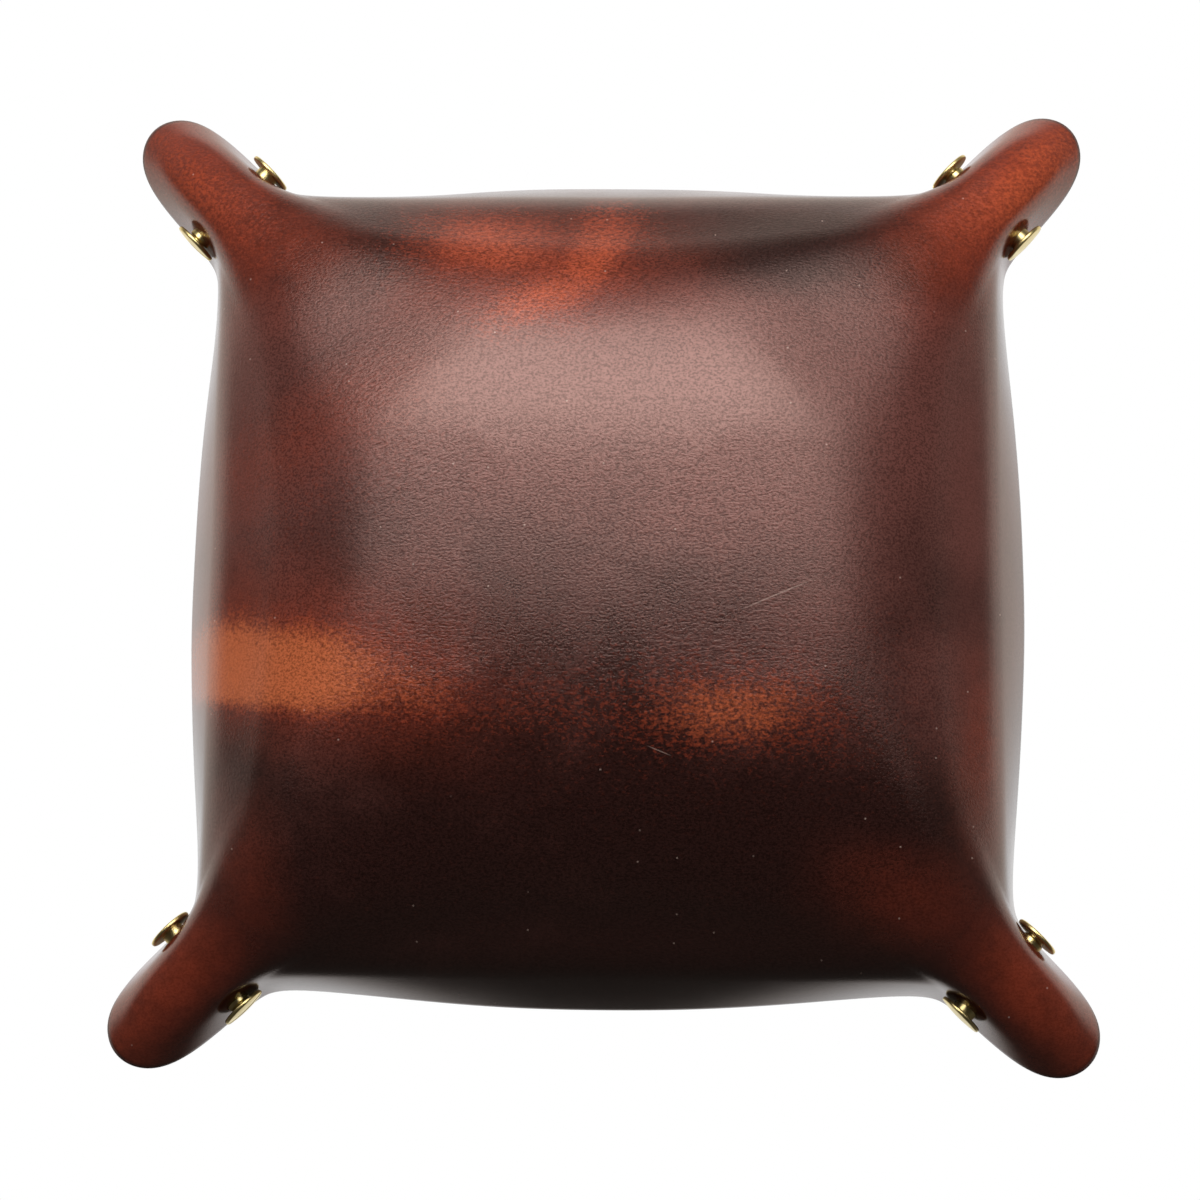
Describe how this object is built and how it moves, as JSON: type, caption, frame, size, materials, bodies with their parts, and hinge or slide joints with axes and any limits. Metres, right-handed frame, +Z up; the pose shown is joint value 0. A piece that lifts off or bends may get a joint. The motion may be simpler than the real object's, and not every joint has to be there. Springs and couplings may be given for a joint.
{
  "type": "valet tray",
  "caption": "Square leather valet tray with a flat bottom, soft curved walls and corners pinched into open ears by two-headed brass screw posts.",
  "frame": {"origin": "centre of the underside, on the surface that the tray stands on", "axes": "+Z up out of the open top, -Y the front side, the ears on the diagonals of X and Y"},
  "size_m": [0.2114, 0.2114, 0.0471],
  "materials": {
    "leather": "waxed pull-up, satin, burnished edges",
    "brass": "polished, lightly aged"
  },
  "bodies": {
    "leather": {"leather_tray": "leather"},
    "post_rear_right": {"post_rear_right": "brass"},
    "screw_rear_right": {"screw_rear_right": "brass"},
    "post_rear_left": {"post_rear_left": "brass"},
    "screw_rear_left": {"screw_rear_left": "brass"},
    "post_front_left": {"post_front_left": "brass"},
    "screw_front_left": {"screw_front_left": "brass"},
    "post_front_right": {"post_front_right": "brass"},
    "screw_front_right": {"screw_front_right": "brass"}
  },
  "joints": [
    {"name": "screw_turn_rear_right", "type": "hinge", "parent": "leather", "child": "screw_rear_right", "pos_m": [0.08417, 0.08417, 0.03393], "axis": [0.7071, -0.7071, 0], "range_deg": [0, 2880.01]},
    {"name": "post_draw_rear_right", "type": "slide", "parent": "leather", "child": "post_rear_right", "axis": [-0.7071, 0.7071, 0], "range_m": [0, 0.0056]},
    {"name": "screw_turn_rear_left", "type": "hinge", "parent": "leather", "child": "screw_rear_left", "pos_m": [-0.08417, 0.08417, 0.03393], "axis": [0.7071, 0.7071, 0], "range_deg": [0, 2880.01]},
    {"name": "post_draw_rear_left", "type": "slide", "parent": "leather", "child": "post_rear_left", "axis": [-0.7071, -0.7071, 0], "range_m": [0, 0.0056]},
    {"name": "screw_turn_front_left", "type": "hinge", "parent": "leather", "child": "screw_front_left", "pos_m": [-0.08417, -0.08417, 0.03393], "axis": [-0.7071, 0.7071, 0], "range_deg": [0, 2880.01]},
    {"name": "post_draw_front_left", "type": "slide", "parent": "leather", "child": "post_front_left", "axis": [0.7071, -0.7071, 0], "range_m": [0, 0.0056]},
    {"name": "screw_turn_front_right", "type": "hinge", "parent": "leather", "child": "screw_front_right", "pos_m": [0.08417, -0.08417, 0.03393], "axis": [-0.7071, -0.7071, 0], "range_deg": [0, 2880.01]},
    {"name": "post_draw_front_right", "type": "slide", "parent": "leather", "child": "post_front_right", "axis": [0.7071, 0.7071, 0], "range_m": [0, 0.0056]}
  ],
  "couplings": [
    {"joint": "screw_turn_rear_right", "follows": "post_draw_rear_right", "rad_per_m": 8976},
    {"joint": "screw_turn_rear_left", "follows": "post_draw_rear_left", "rad_per_m": 8976},
    {"joint": "screw_turn_front_left", "follows": "post_draw_front_left", "rad_per_m": 8976},
    {"joint": "screw_turn_front_right", "follows": "post_draw_front_right", "rad_per_m": 8976}
  ]
}
